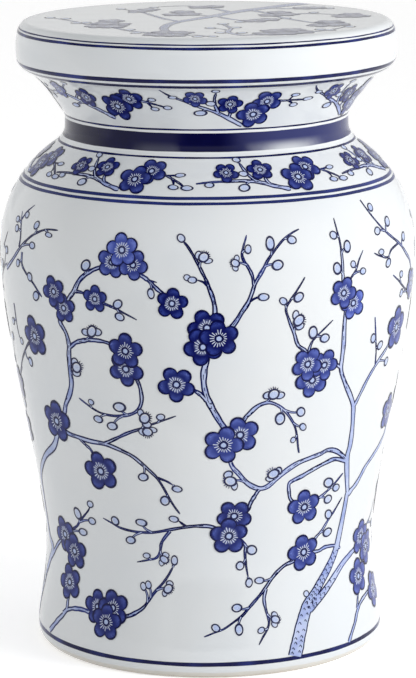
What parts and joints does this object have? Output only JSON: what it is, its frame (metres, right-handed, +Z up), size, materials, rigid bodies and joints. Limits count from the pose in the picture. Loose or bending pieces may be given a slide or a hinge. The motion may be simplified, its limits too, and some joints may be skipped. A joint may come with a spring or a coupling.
{
  "type": "garden stool",
  "caption": "Hollow glazed ceramic garden stool: round flat seat on a drum rim, flared collar, short neck, swelling body and open foot, painted with blue plum blossom.",
  "frame": {"origin": "centre of the foot's standing face, on the floor", "axes": "+Z up along the axis the stool is turned on; -Y towards the side shown in the picture"},
  "size_m": [0.3008, 0.3008, 0.455],
  "materials": {
    "white_glaze": "clear gloss glaze over white body",
    "cobalt_glaze": "clear gloss glaze over cobalt painting"
  },
  "bodies": {
    "root": {"base_ring": "white_glaze", "body_lower": "white_glaze", "body_upper": "white_glaze", "shoulder_ring": "white_glaze", "neck_ring": "cobalt_glaze", "seat_collar": "white_glaze", "seat_rim": "white_glaze", "seat_plate": "white_glaze"}
  },
  "joints": []
}
